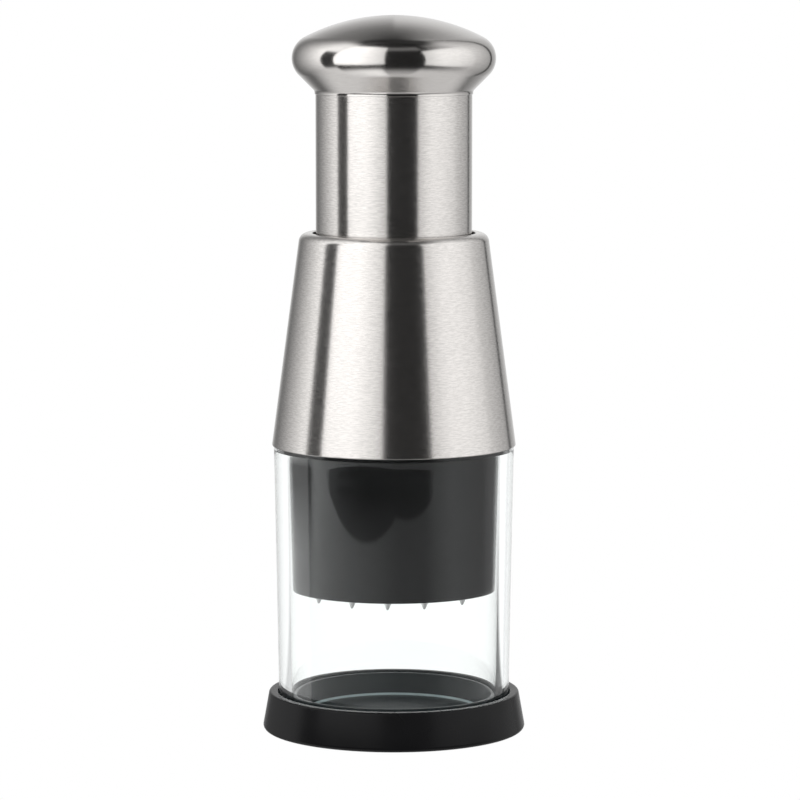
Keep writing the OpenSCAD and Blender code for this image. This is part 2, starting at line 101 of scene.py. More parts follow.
def direction(start, end):
    """Unit vector from start to end, and the distance between them."""
    x = end[0] - start[0]
    y = end[1] - start[1]
    length = math.hypot(x, y)
    return (x / length, y / length), length


def rounded(vertices, steps=8, support=0.35 * MM):
    """Closed outline through vertices (r, z, corner radius).

    Extra points, support away from each corner, keep the flats flat in smooth shading; 0 adds none.
    """
    points = []
    for i, (x, y, radius) in enumerate(vertices):
        u, len_before = direction((x, y), vertices[i - 1])
        w, len_after = direction((x, y), vertices[(i + 1) % len(vertices)])
        half = math.acos(max(-1.0, min(1.0, u[0] * w[0] + u[1] * w[1]))) / 2
        cut = radius / math.tan(half) if radius > 0 else 0.0
        held = cut + support
        if support > 0 and len_before > 2 * held:
            points.append((x + u[0] * held, y + u[1] * held))
        if radius > 0:
            middle = (u[0] + w[0], u[1] + w[1])
            scale = radius / math.sin(half) / math.hypot(*middle)
            centre = (x + middle[0] * scale, y + middle[1] * scale)
            start, end = (
                math.degrees(math.atan2(y + way[1] * cut - centre[1], x + way[0] * cut - centre[0]))
                for way in (u, w))
            sweep = (end - start + 180) % 360 - 180
            points += arc(centre, radius, start, start + sweep, steps)
        else:
            points.append((x, y))
        if support > 0 and len_after > 2 * held:
            points.append((x + w[0] * held, y + w[1] * held))
    return points


def orient_outwards(mesh):
    """Turns every face's normal outwards, by the sign of the closed mesh's volume."""
    volume = sum(poly.area * poly.center.dot(poly.normal) for poly in mesh.polygons)
    if volume < 0:
        mesh.flip_normals()


def add_object(name, data):
    obj = bpy.data.objects.new(name, data)
    bpy.context.scene.collection.objects.link(obj)
    return obj


def add_mesh(name, verts, faces, sharp=None, uvs=None):
    """Adds a mesh, shaded flat, or smooth but for edges that bend by more than sharp degrees."""
    mesh = bpy.data.meshes.new(name)
    mesh.from_pydata(verts, [], faces)
    if uvs:
        for loop, uv in zip(mesh.uv_layers.new(name="UVMap").data, uvs):
            loop.uv = uv
    mesh.validate()
    orient_outwards(mesh)
    if sharp is not None:
        mesh.shade_smooth()
        mesh.set_sharp_from_angle(angle=math.radians(sharp))
    return add_object(name, mesh)


def lathe(name, outline, segments=192):
    """Solid of revolution about Z; its UV map has u round the circle and v along the outline."""
    verts = []
    rings = []
    for r, z in outline:
        if r < ON_AXIS:
            rings.append([len(verts)] * segments)
            verts.append((0, 0, z))
            continue
        rings.append(list(range(len(verts), len(verts) + segments)))
        for k in range(segments):
            a = 2 * math.pi * k / segments + math.pi / 2
            verts.append((r * math.cos(a), r * math.sin(a), z))
    lengths = [0.0]
    for p, q in zip(outline, outline[1:] + outline[:1]):
        lengths.append(lengths[-1] + math.dist(p, q))
    faces = []
    uvs = []
    for i, ring in enumerate(rings):
        after = rings[(i + 1) % len(rings)]
        for k in range(segments):
            m = (k + 1) % segments
            corners = [(ring[k], k, lengths[i]), (ring[m], k + 1, lengths[i]),
                       (after[m], k + 1, lengths[i + 1]), (after[k], k, lengths[i + 1])]
            face = []
            for corner in corners:
                if corner[0] not in [c[0] for c in face]:
                    face.append(corner)
            if len(face) < 3:
                continue
            faces.append([c[0] for c in face])
            uvs += [(c[1] / segments, c[2]) for c in face]
    return add_mesh(name, verts, faces, LATHE_SHARP, uvs)


# ---- Shader nodes ----

def node(tree, kind, inputs=None, **settings):
    """Adds a shader node; inputs are values or the sockets that feed them."""
    made = tree.nodes.new("ShaderNode" + kind)
    for key, value in settings.items():
        setattr(made, key, value)
    for key, value in (inputs or {}).items():
        if isinstance(value, bpy.types.NodeSocket):
            tree.links.new(value, made.inputs[key])
        else:
            made.inputs[key].default_value = value
    return made


def calc(tree, operation, *values):
    return node(tree, "Math", dict(enumerate(values)), operation=operation).outputs[0]


def split(tree, vector):
    """The x, y and z sockets of a vector."""
    return node(tree, "SeparateXYZ", {0: vector}).outputs


def ramp(tree, value, start, end, low_value=0.0, high_value=1.0, **settings):
    """Goes straight from low_value to high_value as value goes from start to end."""
    inputs = {"Value": value, "From Min": start, "From Max": end,
              "To Min": low_value, "To Max": high_value}
    return node(tree, "MapRange", inputs, **settings).outputs[0]


def step_up(tree, *values):
    """As ramp, but easing in and out."""
    return ramp(tree, *values, interpolation_type="SMOOTHSTEP")


def window(tree, value, start, end, soft):
    """1 between start and end, 0 outside, with edges that are soft on both sides."""
    rise = step_up(tree, value, start - soft, start + soft)
    fall = step_up(tree, value, end - soft, end + soft, 1.0, 0.0)
    return calc(tree, "MULTIPLY", rise, fall)


def over(tree, level, mask, value):
    """value where mask is 1, and level where it is 0."""
    keep = calc(tree, "MULTIPLY", level, calc(tree, "SUBTRACT", 1.0, mask))
    return calc(tree, "MULTIPLY_ADD", mask, value, keep)


def azimuth_of(tree, x, y):
    """Degrees round the Z axis: 0 towards the camera, positive to the camera's right."""
    angle = calc(tree, "ARCTAN2", x, calc(tree, "MULTIPLY", y, -1.0))
    return calc(tree, "MULTIPLY", angle, 180 / math.pi)


def noise(tree, vector, scale, detail=2.0, roughness=0.5):
    inputs = {"Vector": vector, "Scale": scale, "Detail": detail, "Roughness": roughness}
    return node(tree, "TexNoise", inputs).outputs["Fac"]


def bump(tree, shader, height, strength, distance):
    inputs = {"Height": height, "Strength": strength, "Distance": distance}
    tree.links.new(node(tree, "Bump", inputs).outputs[0], shader.inputs["Normal"])


def vary_roughness(tree, shader, amount, start, end):
    """Drives the roughness between two values by a noise, most of which lies from 0.3 to 0.7."""
    tree.links.new(ramp(tree, amount, 0.3, 0.7, start, end), shader.inputs["Roughness"])


def mix_color(tree, shader, amount, first, second):
    """Drives the base colour between two colours by a 0 to 1 amount."""
    made = node(tree, "Mix", {0: amount}, data_type="RGBA")
    made.inputs[6].default_value = (*first, 1)
    made.inputs[7].default_value = (*second, 1)
    tree.links.new(made.outputs[2], shader.inputs["Base Color"])


def material(name, color, roughness, metallic=0.0, **sockets):
    """A material with its constants set on the Principled shader's own sockets."""
    mat = bpy.data.materials.new(name)
    mat.use_nodes = True
    shader = mat.node_tree.nodes["Principled BSDF"]
    shader.inputs["Base Color"].default_value = (*color, 1)
    shader.inputs["Roughness"].default_value = roughness
    shader.inputs["Metallic"].default_value = metallic
    for key, value in sockets.items():
        shader.inputs[key.replace("_", " ")].default_value = value
    return mat, mat.node_tree, shader


# ---- Materials ----

STEEL_TONE = (0.60, 0.580, 0.562)
BRUSH_LENGTH = 2.2 * MM      # length of a brushing mark, round the axis
BRUSH_WIDTH = 0.3 * MM       # its width, along the outline
BROAD = 60                   # patches in a metre, for the plastics' slow changes


def turned_brushing(tree):
    """Coordinates for noise that is drawn out round the Z axis."""
    place = node(tree, "TexCoord").outputs
    x, y, _ = split(tree, place["Object"])
    v = split(tree, place["UV"])[1]
    x = calc(tree, "MULTIPLY", x, 1 / BRUSH_LENGTH)
    y = calc(tree, "MULTIPLY", y, 1 / BRUSH_LENGTH)
    v = calc(tree, "MULTIPLY", v, 1 / BRUSH_WIDTH)
    return node(tree, "CombineXYZ", {0: x, 1: y, 2: v}).outputs[0]


def brushed_steel(name, roughness, streak, grooves):
    """Stainless steel brushed round its axis, so that reflections spread along it."""
    mat, tree, shader = material(name, STEEL_TONE, roughness, metallic=1.0, Anisotropic=0.85,
                                 Anisotropic_Rotation=0.25)
    tangent = node(tree, "Tangent", direction_type="RADIAL", axis="Z")
    tree.links.new(tangent.outputs[0], shader.inputs["Tangent"])
    lines = noise(tree, turned_brushing(tree), 1.0, 2.0, 0.6)
    dark = [c * (1 - streak) for c in STEEL_TONE]
    light = [c * (1 + streak) for c in STEEL_TONE]
    mix_color(tree, shader, step_up(tree, lines, 0.3, 0.7), dark, light)
    vary_roughness(tree, shader, lines, roughness * 0.9, roughness * 1.1)
    bump(tree, shader, lines, grooves, 0.02 * MM)
    return mat


def machined_steel(name, color, roughness):
    mat, tree, shader = material(name, color, roughness, metallic=1.0)
    grain = noise(tree, node(tree, "TexCoord").outputs["Object"], 900.0, 3.0)
    vary_roughness(tree, shader, grain, roughness * 0.8, roughness * 1.3)
    bump(tree, shader, grain, 0.15, 0.03 * MM)
    return mat


def moulded_plastic(name, color, roughness, grain_scale, grain_depth, **sockets):
    """Plastic with a fine grain, and with slow changes of its colour and its roughness."""
    mat, tree, shader = material(name, color, roughness, **sockets)
    place = node(tree, "TexCoord").outputs["Object"]
    grain = noise(tree, place, grain_scale, 3.0)
    broad = noise(tree, place, BROAD, 2.0)
    vary_roughness(tree, shader, broad, roughness * 0.92, roughness * 1.1)
    light = [c * 1.25 for c in color]
    mix_color(tree, shader, step_up(tree, broad, 0.35, 0.65), color, light)
    bump(tree, shader, grain, 0.3, grain_depth)
    return mat


def clear_glass(name):
    """Clear glass that turns green in depth."""
    mat, tree, shader = material(name, (0.985, 0.998, 0.994), 0.0, IOR=1.48)
    shader.inputs["Transmission Weight"].default_value = 1.0
    absorb = node(tree, "VolumeAbsorption", {"Color": (0.35, 0.84, 0.82, 1), "Density": 1.6})
    tree.links.new(absorb.outputs[0], tree.nodes["Material Output"].inputs["Volume"])
    return mat


STEEL = brushed_steel("brushed_steel", 0.23, streak=0.10, grooves=0.32)
KNOB_STEEL = brushed_steel("brushed_steel_knob", 0.15, streak=0.03, grooves=0.08)
BRIGHT = machined_steel("bright_steel", (0.66, 0.66, 0.65), 0.22)
WIRE = machined_steel("spring_wire", (0.52, 0.52, 0.52), 0.3)
BLADE = machined_steel("blade_strip", (0.68, 0.68, 0.68), 0.16)
# the plastics: colour, roughness, grains in a metre and their depth
MATTE_BLACK = moulded_plastic("matte_black", (0.0052, 0.0052, 0.0056), 0.26, 2600, 0.006 * MM,
                              Specular_IOR_Level=0.115)
# painted light: a paler, cyan-tinged copy of the matte black for the base's inside, standing in for
# light seen through the glass
PAINTED_LIT_INSIDE = moulded_plastic("matte_black_painted_lit_inside", (0.018, 0.024, 0.026), 0.30, 2600, 0.001 * MM,
                              Specular_IOR_Level=0.22)
# painted highlight: a pale cyan colour on the rounded corner round the base's floor, standing in
# for a bright edge highlight
PAINTED_RING_HIGHLIGHT = moulded_plastic("matte_black_painted_highlight", (0.42, 0.52, 0.53), 0.30, 2600, 0.001 * MM,
                            Specular_IOR_Level=0.5)
GLOSS_BLACK = moulded_plastic("gloss_black", (0.008, 0.008, 0.009), 0.16, 1800, 0.001 * MM)
ACETAL = moulded_plastic("black_acetal", (0.014, 0.014, 0.015), 0.32, 2000, 0.01 * MM)
RUBBER = moulded_plastic("grip_rubber", (0.018, 0.018, 0.019), 0.7, 1500, 0.03 * MM)
SILICONE = moulded_plastic("silicone", (0.55, 0.60, 0.60), 0.35, 1200, 0.01 * MM)
GLASS = clear_glass("clear_glass")

SLOT_MATERIALS = {
    "matte_black": MATTE_BLACK, "grip_rubber": RUBBER, "silicone": SILICONE, "clear_glass": GLASS,
    "brushed_steel": STEEL, "bright_steel": BRIGHT, "spring_steel": WIRE, "blade_steel": BLADE,
    "gloss_black": GLOSS_BLACK, "black_moulding": ACETAL, "black_acetal": ACETAL}
CAD_SHARP = 30               # degrees that an edge of a CAD node bends by before it stays sharp


def dress(obj, mat):
    obj.data.materials.clear()
    obj.data.materials.append(mat)


def dress_cad_nodes():
    for row in frame["record"]["subparts"]:
        obj = NODES[row["node"]]
        dress(obj, SLOT_MATERIALS[row["material_slot"]])
        obj.data.shade_smooth()
        obj.data.set_sharp_from_angle(angle=math.radians(CAD_SHARP))


# ---- Pieces that are finer than their CAD nodes ----

def stand_in(obj, mat, body, node_name):
    """Dresses a piece that stands for a CAD node, and lets it ride on the node's body."""
    dress(obj, mat)
    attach(obj, body)
    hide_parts(node_name)
    return obj


RECESS_TOP = 3.8 * MM        # top of the recess under the base
BASE_FACE = 0.06 * MM        # height of the cap's lower face, which hangs free of the table
FLOOR_TOP = 5.5 * MM         # height of the floor that the food lies on


def base():
    """The base cap: a low tapered wall, a channel for the glass, and a ring to centre its foot."""
    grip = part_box("base_grip_ring")[1]
    groove = low("glass_seat_gasket")
    channel = 6.2 * MM
    rim = 12.8 * MM
    recess_r = 33.4 * MM
    grip_in = 35.2 * MM
    foot_r = 44.0 * MM
    rim_r = 41.7 * MM
    channel_out = 38.8 * MM
    groove_out = 38.2 * MM
    groove_in = 34.6 * MM
    ring_foot = 33.8 * MM
    ring_out = 33.7 * MM
    ring_in = 32.5 * MM
    floor_r = 30.6 * MM
    ease = 0.5 * MM
    outline = rounded([
        (recess_r, RECESS_TOP, 0.4 * MM), (recess_r, BASE_FACE, 0), (grip_in, BASE_FACE, 0),
        (grip_in, grip.z, 0), (grip.x, grip.z, 0), (grip.x, BASE_FACE, 0),
        (foot_r, BASE_FACE, 1.35 * MM), (rim_r, rim, 0.8 * MM), (channel_out, rim, ease),
        (channel_out, channel, 0.3 * MM), (groove_out, channel, 0), (groove_out, groove, 0),
        (groove_in, groove, 0), (groove_in, channel, 0), (ring_foot, channel, 0),
        (ring_out, rim, ease), (ring_in, rim, ease), (floor_r, FLOOR_TOP, 0.9 * MM),
        (0, FLOOR_TOP, 0), (0, RECESS_TOP, 0)], 10, 0)
    piece = lathe("base_shell", outline, 256)
    stand_in(piece, MATTE_BLACK, "base", "base_cap")
    piece.data.materials.append(PAINTED_LIT_INSIDE)
    piece.data.materials.append(PAINTED_RING_HIGHLIGHT)
    # painted light: the inside is painted paler than the outside, as if lit through the glass, and
    # the rounded corner round the floor carries a painted highlight, paler still
    corner_low = FLOOR_TOP + 0.02 * MM
    corner_high = FLOOR_TOP + 0.7 * MM
    for poly in piece.data.polygons:
        r = math.hypot(poly.center.x, poly.center.y)
        z = poly.center.z
        if r < channel_out + 0.1 * MM and z > RECESS_TOP + 0.1 * MM:
            on_painted_highlight = corner_low < z < corner_high and r < floor_r + 0.4 * MM
            poly.material_index = 2 if on_painted_highlight else 1
    return piece


def base_ribs():
    """The ring and the ribs that stiffen the recess under the base."""
    foot = BASE_FACE + 0.6 * MM
    top = RECESS_TOP + 0.2 * MM
    hub_in = 8 * MM
    hub_out = 10 * MM
    rib_start = 9.5 * MM
    rib_end = 33.6 * MM
    half_width = 0.7 * MM
    count = 8
    hub = lathe("base_hub", [(hub_in, foot), (hub_out, foot), (hub_out, top), (hub_in, top)], 64)
    box = [(0, 1, 3, 2), (4, 6, 7, 5), (0, 4, 5, 1), (2, 3, 7, 6), (0, 2, 6, 4), (1, 5, 7, 3)]
    verts = []
    faces = []
    for i in range(count):
        faces += [tuple(len(verts) + k for k in face) for face in box]
        for r in (rib_start, rib_end):
            for side in (-half_width, half_width):
                for z in (foot, top):
                    verts.append((*turned(r, side, 2 * math.pi * i / count), z))
    for piece in (hub, add_mesh("base_ribs", verts, faces)):
        dress(piece, MATTE_BLACK)
        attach(piece, "base")


def rim_gasket():
    """The soft ring between the top of the glass and the head."""
    foot = low("rim_gasket")
    top = high("rim_gasket")
    out_r = reach("rim_gasket")
    in_r = out_r - 2.2 * MM
    outline = rounded([(in_r, foot, 0.2 * MM), (out_r, foot, 0.2 * MM),
                       (out_r, top, 0.1 * MM), (in_r, top, 0.1 * MM)], 4, 0)
    stand_in(lathe("rim_seal", outline), RUBBER, "head", "rim_gasket")


def collar():
    """The conical collar of sheet steel, with a rounded top corner and the sheet's eased edges."""
    bottom = low("collar_shell") + 1.0 * MM
    top = high("collar_shell")
    sheet = 0.4 * MM
    edge_r = 40.55 * MM
    top_r = 31.15 * MM
    hole_r = 27.0 * MM
    slope = (edge_r - top_r) / (top - bottom)
    outline = rounded([
        (edge_r - sheet, bottom, 0.08 * MM), (edge_r, bottom, 0.25 * MM), (top_r, top, 3 * MM),
        (hole_r, top, 0.25 * MM), (hole_r, top - sheet, 0.08 * MM),
        (top_r + slope * sheet - sheet, top - sheet, 2.6 * MM)], 12)
    return stand_in(lathe("collar_skin", outline), STEEL, "head", "collar_shell")


def bush():
    """The bush that guides the tube, with a shallow well round the tube under the collar's edge."""
    bottom = low("guide_bush")
    top = high("guide_bush")
    bore = reach("plunger_tube") + 0.08 * MM
    body_r = 28.9 * MM
    flange_r = 29.9 * MM
    flange_foot = top - 2 * MM
    face_r = 29.1 * MM
    well_r = 27.6 * MM
    well_foot = top - 2.7 * MM
    outline = rounded([
        (bore, bottom, 0.6 * MM), (body_r, bottom, 0.6 * MM), (body_r, flange_foot, 0),
        (flange_r, flange_foot, 0), (flange_r, top - 0.8 * MM, 0), (face_r, top, 0),
        (well_r, top, 0.2 * MM), (well_r, well_foot, 0.2 * MM), (bore, well_foot, 0.3 * MM)], 4, 0)
    stand_in(lathe("bush_ring", outline), ACETAL, "head", "guide_bush")


def tube():
    """The plunger's sleeve, with the edges of its two ends eased."""
    r = reach("plunger_tube")
    wall = 0.8 * MM
    bottom = low("plunger_tube")
    top = high("plunger_tube")
    ease = 0.15 * MM
    outline = rounded([
        (r - wall, bottom, ease), (r, bottom, ease), (r, top, ease), (r - wall, top, ease)], 4)
    return stand_in(lathe("tube_skin", outline), STEEL, "plunger", "plunger_tube")


def knob_line(inset, apex, knob_r, crown_r, shoulder_r):
    """The crown and shoulder, from the axis to where the 45 degree underside starts."""
    apart = crown_r - shoulder_r
    lean = math.degrees(math.asin((knob_r - shoulder_r) / apart))
    crown = (0.0, apex - crown_r)
    shoulder = (apart * math.sin(math.radians(lean)),
                crown[1] + apart * math.cos(math.radians(lean)))
    points = arc(crown, crown_r - inset, 90, 90 - lean, 48)
    points[0] = (0.0, points[0][1])
    return points + arc(shoulder, shoulder_r - inset, 90 - lean, -45, 64)[1:]


def knob():
    """The domed steel knob: crown, shoulder, slanting underside, and a neck closed on the tube."""
    apex = high("knob_cap")
    knob_r = reach("knob_cap")
    neck_bottom = low("knob_cap")
    seam_r = reach("plunger_tube") + 0.02 * MM
    neck_r = reach("plunger_tube") + 0.3 * MM
    crown_r = 64.1 * MM
    shoulder_r = 7.86 * MM
    sheet = 0.8 * MM
    fillet = 1.5 * MM
    ease = 0.12 * MM
    outer = knob_line(0.0, apex, knob_r, crown_r, shoulder_r)
    inner = knob_line(sheet, apex, knob_r, crown_r, shoulder_r)
    end_r, end_z = outer[-1]
    corner_z = end_z - (end_r - neck_r)
    cut = fillet * math.tan(math.radians(22.5))
    outer += arc((neck_r + fillet, corner_z - cut), fillet, 135, 180, 10)
    outer += [(neck_r, neck_bottom + ease), (neck_r - ease, neck_bottom), (seam_r, neck_bottom)]
    in_r, in_z = inner[-1]
    outline = outer + [(seam_r, in_z - (in_r - seam_r))] + inner[::-1]
    return stand_in(lathe("knob_skin", outline), KNOB_STEEL, "plunger", "knob_cap")


def glass():
    """The chopping cylinder: a gentle flare, a thick wall and fire-polished ends."""
    bottom = low("glass_cylinder")
    top = high("glass_cylinder")
    lip_top = top + 2.6 * MM       # a thin lip goes on up inside the collar
    lip_in = 39.3 * MM
    lip_ease = 0.3 * MM
    height = 91 * MM               # length over which the glass widens by flare
    glass_r = reach("glass_cylinder")
    flare = 1.6 * MM
    straight = 0.875               # the share of the flare that is straight, the rest is curved
    wall = 4.5 * MM
    taper = 0.3 * MM               # the wall is thinner by this at the foot
    end_ease = 1 * MM
    steps = 24

    def out(t):
        return glass_r - flare + flare * (straight * t + (1 - straight) * t * t)

    def bore(t):
        return out(t) - wall + taper * (1 - t)

    full = (top - bottom) / height
    end = (lip_top - bottom) / height
    rows = [full * i / steps for i in range(1, steps)]
    outside = [(out(t), bottom + height * t, 0) for t in rows + [full]]
    inside = [(bore(t), bottom + height * t, 0) for t in reversed(rows)]
    lip = [(out(end), lip_top, lip_ease), (lip_in, lip_top, lip_ease), (lip_in, top, 0)]
    outline = rounded([(bore(0), bottom, end_ease), (out(0), bottom, end_ease)] + outside + lip
                      + [(bore(full), top, 0.6 * MM)] + inside, 10, 0)
    stand_in(lathe("glass_wall", outline, 256), GLASS, "glass", "glass_cylinder")


def strip_line(pitch, circle, bend):
    """Middle line of the zigzag strip seen from above, and the outermost points of its folds."""
    half = 2                       # folds on each side of the middle one
    past = 0.22                    # how far the free ends stand past the last fold, in pitches
    end_share = 0.9                # how far the free ends reach, as a share of the circle
    bend_steps = 16
    run_steps = 12                 # parts that a straight run between two folds is cut into
    shortest_run = 5 * MM

    def fold(x, side):
        return (x, side * math.sqrt(circle * circle - x * x))

    folds = []
    for i in range(-half, half + 1):
        folds.append((fold(i * pitch, -1), -1))
        if i < half:
            folds.append((fold((i + 0.5) * pitch, 1), 1))
    end_x = (half + past) * pitch
    end_y = end_share * math.sqrt(circle * circle - end_x * end_x)
    line = [(-end_x, end_y)]
    for centre, side in folds:
        line += arc(centre, bend, 180, 180 - side * 180, bend_steps)
    line.append((end_x, end_y))
    fine = []
    for (x0, y0), (x1, y1) in zip(line, line[1:]):
        length = math.hypot(x1 - x0, y1 - y0)
        shares = [0.0]
        if length > shortest_run:
            close = 0.1 * MM / length
            near = 0.3 * MM / length
            shares += [close, near] + [k / run_steps for k in range(1, run_steps)]
            shares += [1 - near, 1 - close]
        fine += [(x0 + (x1 - x0) * t, y0 + (y1 - y0) * t) for t in shares]
    return fine + [line[-1]], [(c[0], c[1] + side * bend) for c, side in folds]


def blade():
    """The zigzag strip: a slightly hollow lower edge, ground to a point at each fold."""
    strip = 0.6 * MM
    pitch = 11.5 * MM
    fold_circle = 28 * MM
    bend = 0.8 * MM
    tip = low("guard_cup") - 2.75 * MM
    top = high("zigzag_blade")
    point_h = 2.6 * MM
    point_half = 0.15 * MM         # half the width of a point's end
    point_slope = math.tan(math.radians(22.5))
    hollow_r = 160 * MM            # radius of the hollow that is ground into the lower edge
    hollow_rim = 29.1 * MM         # distance from the axis at which the hollow has run out
    turn = math.radians(-4)
    line, points = strip_line(pitch, fold_circle, bend)
    verts = []
    for i, (x, y) in enumerate(line):
        along, _ = direction(line[max(i - 1, 0)], line[min(i + 1, len(line) - 1)])
        side = (-along[1], along[0])
        away = min(math.dist((x, y), q) for q in points)
        rise = min(point_h, max(0.0, away - point_half) / point_slope)
        if rise >= point_h:
            rise += math.sqrt(hollow_r ** 2 - x * x - y * y)
            rise -= math.sqrt(hollow_r ** 2 - hollow_rim ** 2)
        for shift in (-strip / 2, strip / 2):
            plan = turned(x + side[0] * shift, y + side[1] * shift, turn)
            verts += [(*plan, tip + rise), (*plan, top)]
    last = 4 * (len(line) - 1)
    faces = [(0, 1, 3, 2)]
    for a in range(0, last, 4):
        b = a + 4
        faces += [(a, b, b + 1, a + 1), (a + 2, a + 3, b + 3, b + 2),
                  (a, a + 2, b + 2, b), (a + 1, b + 1, b + 3, a + 3)]
    faces.append((last, last + 2, last + 3, last + 1))
    piece = add_mesh("blade_strip", verts, faces, 35)
    stand_in(piece, BLADE, "blade", "zigzag_blade")


def return_spring():
    """The return spring: a round wire with close end turns."""
    foot = low("return_spring")
    top = high("return_spring")
    wire = 1.8 * MM
    coil_r = reach("return_spring") - wire / 2
    turns = 11
    steps = 48
    sides = 12
    close = 1.3 * wire             # rise of each of the two end turns
    lead = (top - foot - wire - 2 * close) / (turns - 2)

    def rise(t):
        if t < 1:
            return close * t
        return close + lead * (min(t, turns - 1) - 1) + close * max(0.0, t - turns + 1)

    verts = []
    for i in range(turns * steps + 1):
        a = 2 * math.pi * i / steps
        centre_z = foot + wire / 2 + rise(i / steps)
        for k in range(sides):
            b = 2 * math.pi * k / sides
            r = coil_r + wire / 2 * math.cos(b)
            verts.append((r * math.cos(a), r * math.sin(a), centre_z + wire / 2 * math.sin(b)))
    faces = [tuple(range(sides)), tuple(range(len(verts) - 1, len(verts) - 1 - sides, -1))]
    for a in range(0, turns * steps * sides, sides):
        for k in range(sides):
            m = (k + 1) % sides
            faces.append((a + k, a + m, a + sides + m, a + sides + k))
    piece = add_mesh("spring_coil", verts, faces, 50)
    stand_in(piece, WIRE, "head", "return_spring")
    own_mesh(piece)


# ---- Camera ----

CAMERA_DISTANCE = 1.283
CAMERA_HEIGHT = 0.2579
CAMERA_DOWN = 6.564     # degrees that the camera looks down by
FOCAL_PIXELS = 3884.7
FRAME_PIXELS = 800
AXIS_PIXEL = 393.9      # column that the plunger's axis is seen in
CENTRE_ROW = 400.5      # row that the camera's own axis meets


def camera():
    data = bpy.data.cameras.new("camera")
    data.sensor_width = 36
    data.lens = FOCAL_PIXELS / FRAME_PIXELS * data.sensor_width
    data.shift_x = (FRAME_PIXELS / 2 - AXIS_PIXEL) / FRAME_PIXELS
    data.shift_y = (CENTRE_ROW - FRAME_PIXELS / 2) / FRAME_PIXELS
    data.clip_start = 0.05
    data.clip_end = 100
    obj = add_object("camera", data)
    obj.location = (0, -CAMERA_DISTANCE, CAMERA_HEIGHT)
    obj.rotation_euler = (math.radians(90 - CAMERA_DOWN), 0, 0)
    bpy.context.scene.camera = obj


# ---- Lights and studio ----
# Angles are in degrees: azimuth 0 is towards the camera, elevation 0 the horizon.

PLAIN = 0.85            # light that falls on what isn't a mirror
BEHIND_GLASS = 1.16     # brightness of what the glass is seen against
BESIDE_GLASS = 0.50     # brightness of the rest that rays through glass see
ROOM_DARK = 0.015
STAND_OFF = 0.5         # distance of the panels from the axis


def studio_level(tree):
    """Brightness of the studio in each direction, as the pieces reflect it."""
    x, y, z = split(tree, node(tree, "TexCoord").outputs["Generated"])
    azimuth = azimuth_of(tree, x, y)
    elevation = calc(tree, "MULTIPLY", calc(tree, "ARCSINE", z), 180 / math.pi)

    def by_azimuth(*values):
        return ramp(tree, azimuth, *values)

    def by_elevation(*values):
        return ramp(tree, elevation, *values)

    def area(level, value, azimuths, elevations, soft):
        """Paints value over level inside both ranges; soft is for the azimuth and the elevation."""
        mask = calc(tree, "MULTIPLY", window(tree, azimuth, *azimuths, soft[0]),
                    window(tree, elevation, *elevations, soft[1]))
        return over(tree, level, mask, value)

    # side walls, that fade towards the back, and are brighter above the horizon
    left = calc(tree, "MULTIPLY_ADD", calc(tree, "POWER", by_azimuth(-152, -95), 1.5), 1.12, 0.22)
    left = calc(tree, "MULTIPLY", left, step_up(tree, azimuth, -20, 0, 1.0, 0.0))
    right = calc(tree, "MINIMUM", by_azimuth(45, 104, 0.0, 0.90), by_azimuth(104, 138, 0.90, 0.52))
    height = calc(tree, "MINIMUM", by_elevation(-30, 28, 0.72, 1.28),
                  by_elevation(28, 60, 1.28, 0.95))
    walls = calc(tree, "MULTIPLY", calc(tree, "ADD", left, right), height)
    walls = calc(tree, "MULTIPLY", walls, step_up(tree, elevation, 58, 72, 1.0, 0.06))
    # the white backdrop, 8 degrees higher on the right, and the dark room above it
    drop = calc(tree, "MULTIPLY_ADD", calc(tree, "SIGN", azimuth), -4.0, elevation)
    drop = ramp(tree, drop, 20, 42, 0.88, 0.34)
    drop = calc(tree, "MULTIPLY", drop, by_elevation(33, 57, 1.0, 0.10))
    level = over(tree, walls, step_up(tree, calc(tree, "ABSOLUTE", azimuth), 150, 180), drop)
    # the gap beside the backdrop, the dark side of the room, a paler strip high up in it, and the
    # edge of the softbox
    level = area(level, 0.05, (140, 146), (-60, 62), (1.5, 5))
    level = area(level, ROOM_DARK, (-73, 40), (-90, 90), (2.0, 1))
    level = area(level, 0.22, (-14, 40), (46, 62), (4, 3))
    level = area(level, 0.04, (-91, -70), (-28, 30), (1.5, 5))
    # the floor, pale on the left, and dark in front under the horizon
    ground = calc(tree, "MULTIPLY", by_azimuth(-95, -30, 0.92, 1.35),
                  step_up(tree, azimuth, -30, 5, 1.0, 0.62))
    ground = area(ground, by_elevation(-30, -78, 0.05, 0.83), (-14, 34), (-90, 0), (3, 1))
    ground = over(tree, ground, step_up(tree, elevation, -70, -88), 0.55)
    return over(tree, level, step_up(tree, elevation, -30, -52), ground)


def world():
    """Reflections see the studio, the camera plain white, and rays through glass a bright back."""
    scene_world = bpy.data.worlds.new("studio")
    bpy.context.scene.world = scene_world
    scene_world.use_nodes = True
    tree = scene_world.node_tree
    tree.nodes.clear()
    path = node(tree, "LightPath").outputs
    behind = split(tree, node(tree, "TexCoord").outputs["Generated"])[1]
    through_glass = step_up(tree, behind, 0.60, 0.70, BESIDE_GLASS, BEHIND_GLASS)
    level = PLAIN
    for ray, seen in (("Is Glossy Ray", studio_level(tree)), ("Is Transmission Ray", through_glass),
                      ("Is Camera Ray", 1.0)):
        level = calc(tree, "MULTIPLY_ADD", path[ray], calc(tree, "SUBTRACT", seen, level), level)
    background = node(tree, "Background", {"Color": (1, 1, 1, 1), "Strength": level})
    tree.links.new(background.outputs[0], node(tree, "OutputWorld").inputs[0])


